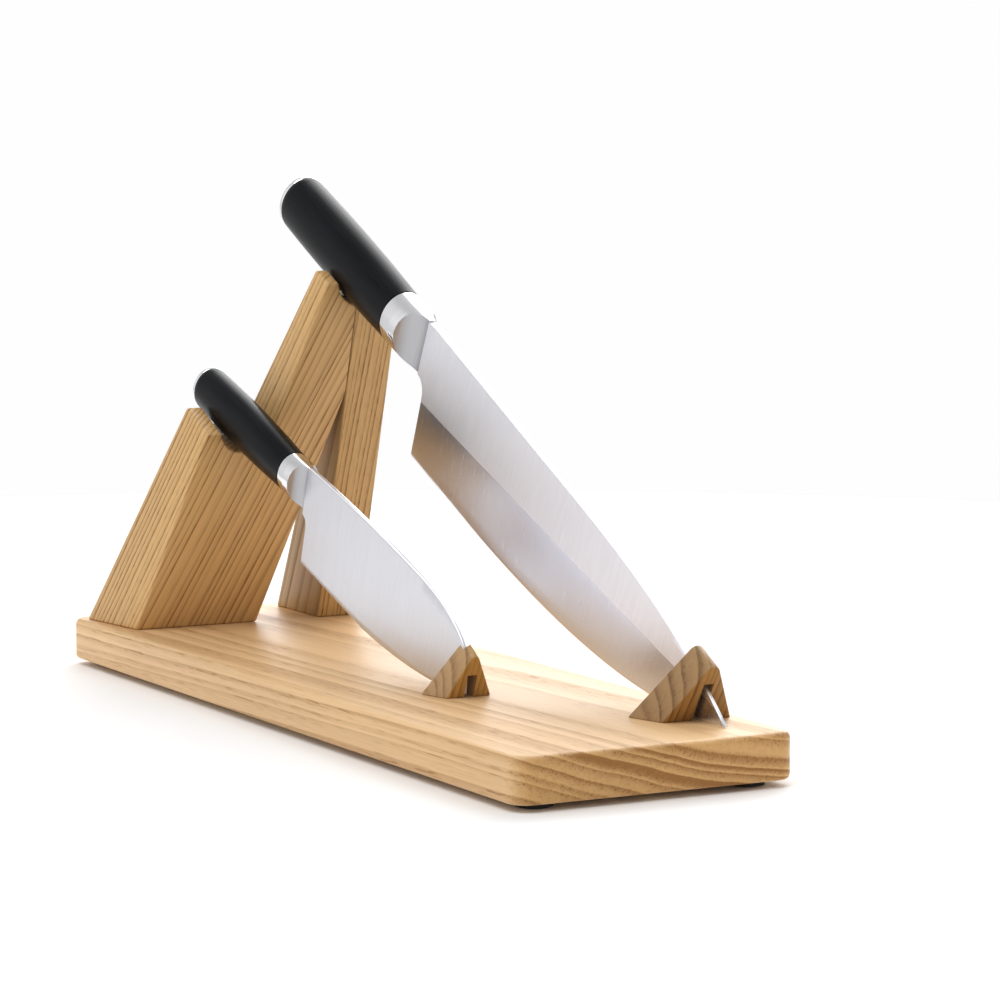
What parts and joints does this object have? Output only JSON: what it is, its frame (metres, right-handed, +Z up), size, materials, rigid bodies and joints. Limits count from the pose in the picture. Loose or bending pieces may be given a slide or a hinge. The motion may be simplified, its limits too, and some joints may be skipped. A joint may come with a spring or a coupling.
{
  "type": "open knife stand with knives",
  "caption": "Open wooden knife stand: a forked leaning support holds the handles in half-round grooves and slotted wedges hold the blade tips.",
  "frame": {"origin": "the point of the counter top under the middle of the base board", "axes": "+X along the base board towards the blade tips, +Y across it towards the large knife, +Z up"},
  "size_m": [0.344, 0.098, 0.1801],
  "materials": {
    "ash_base": "oiled, cathedral grain along the length",
    "ash": "oiled, straight grain along the lean",
    "dowel_wood": "plain, glued in",
    "foot_rubber": "matt",
    "screw_steel": "zinc plated",
    "blade_steel": "fine satin, ground across the blade",
    "polished_steel": "mirror polished",
    "black_wood": "resin-filled black laminated wood, satin"
  },
  "bodies": {
    "stand": {"base_board": "ash_base", "support_board": "ash", "support_strut": "ash", "large_tip_block": "ash", "small_tip_block": "ash", "joint_dowels": "dowel_wood", "support_dowels": "dowel_wood", "support_screws": "screw_steel", "large_tip_dowels": "dowel_wood", "small_tip_dowels": "dowel_wood", "foot_back_left": "foot_rubber", "foot_back_right": "foot_rubber", "foot_front_left": "foot_rubber", "foot_front_right": "foot_rubber"},
    "large_knife": {"large_blade": "blade_steel", "large_bolster": "polished_steel", "large_grip": "black_wood", "large_end_cap": "polished_steel"},
    "small_knife": {"small_blade": "blade_steel", "small_bolster": "polished_steel", "small_grip": "black_wood", "small_end_cap": "polished_steel"}
  },
  "joints": [
    {"name": "large_knife_draw", "type": "slide", "parent": "stand", "child": "large_knife", "axis": [-0.9026, 0, 0.4305], "range_m": [0, 0.05]},
    {"name": "small_knife_draw", "type": "slide", "parent": "stand", "child": "small_knife", "axis": [-0.9426, 0, 0.3338], "range_m": [0, 0.05]}
  ]
}
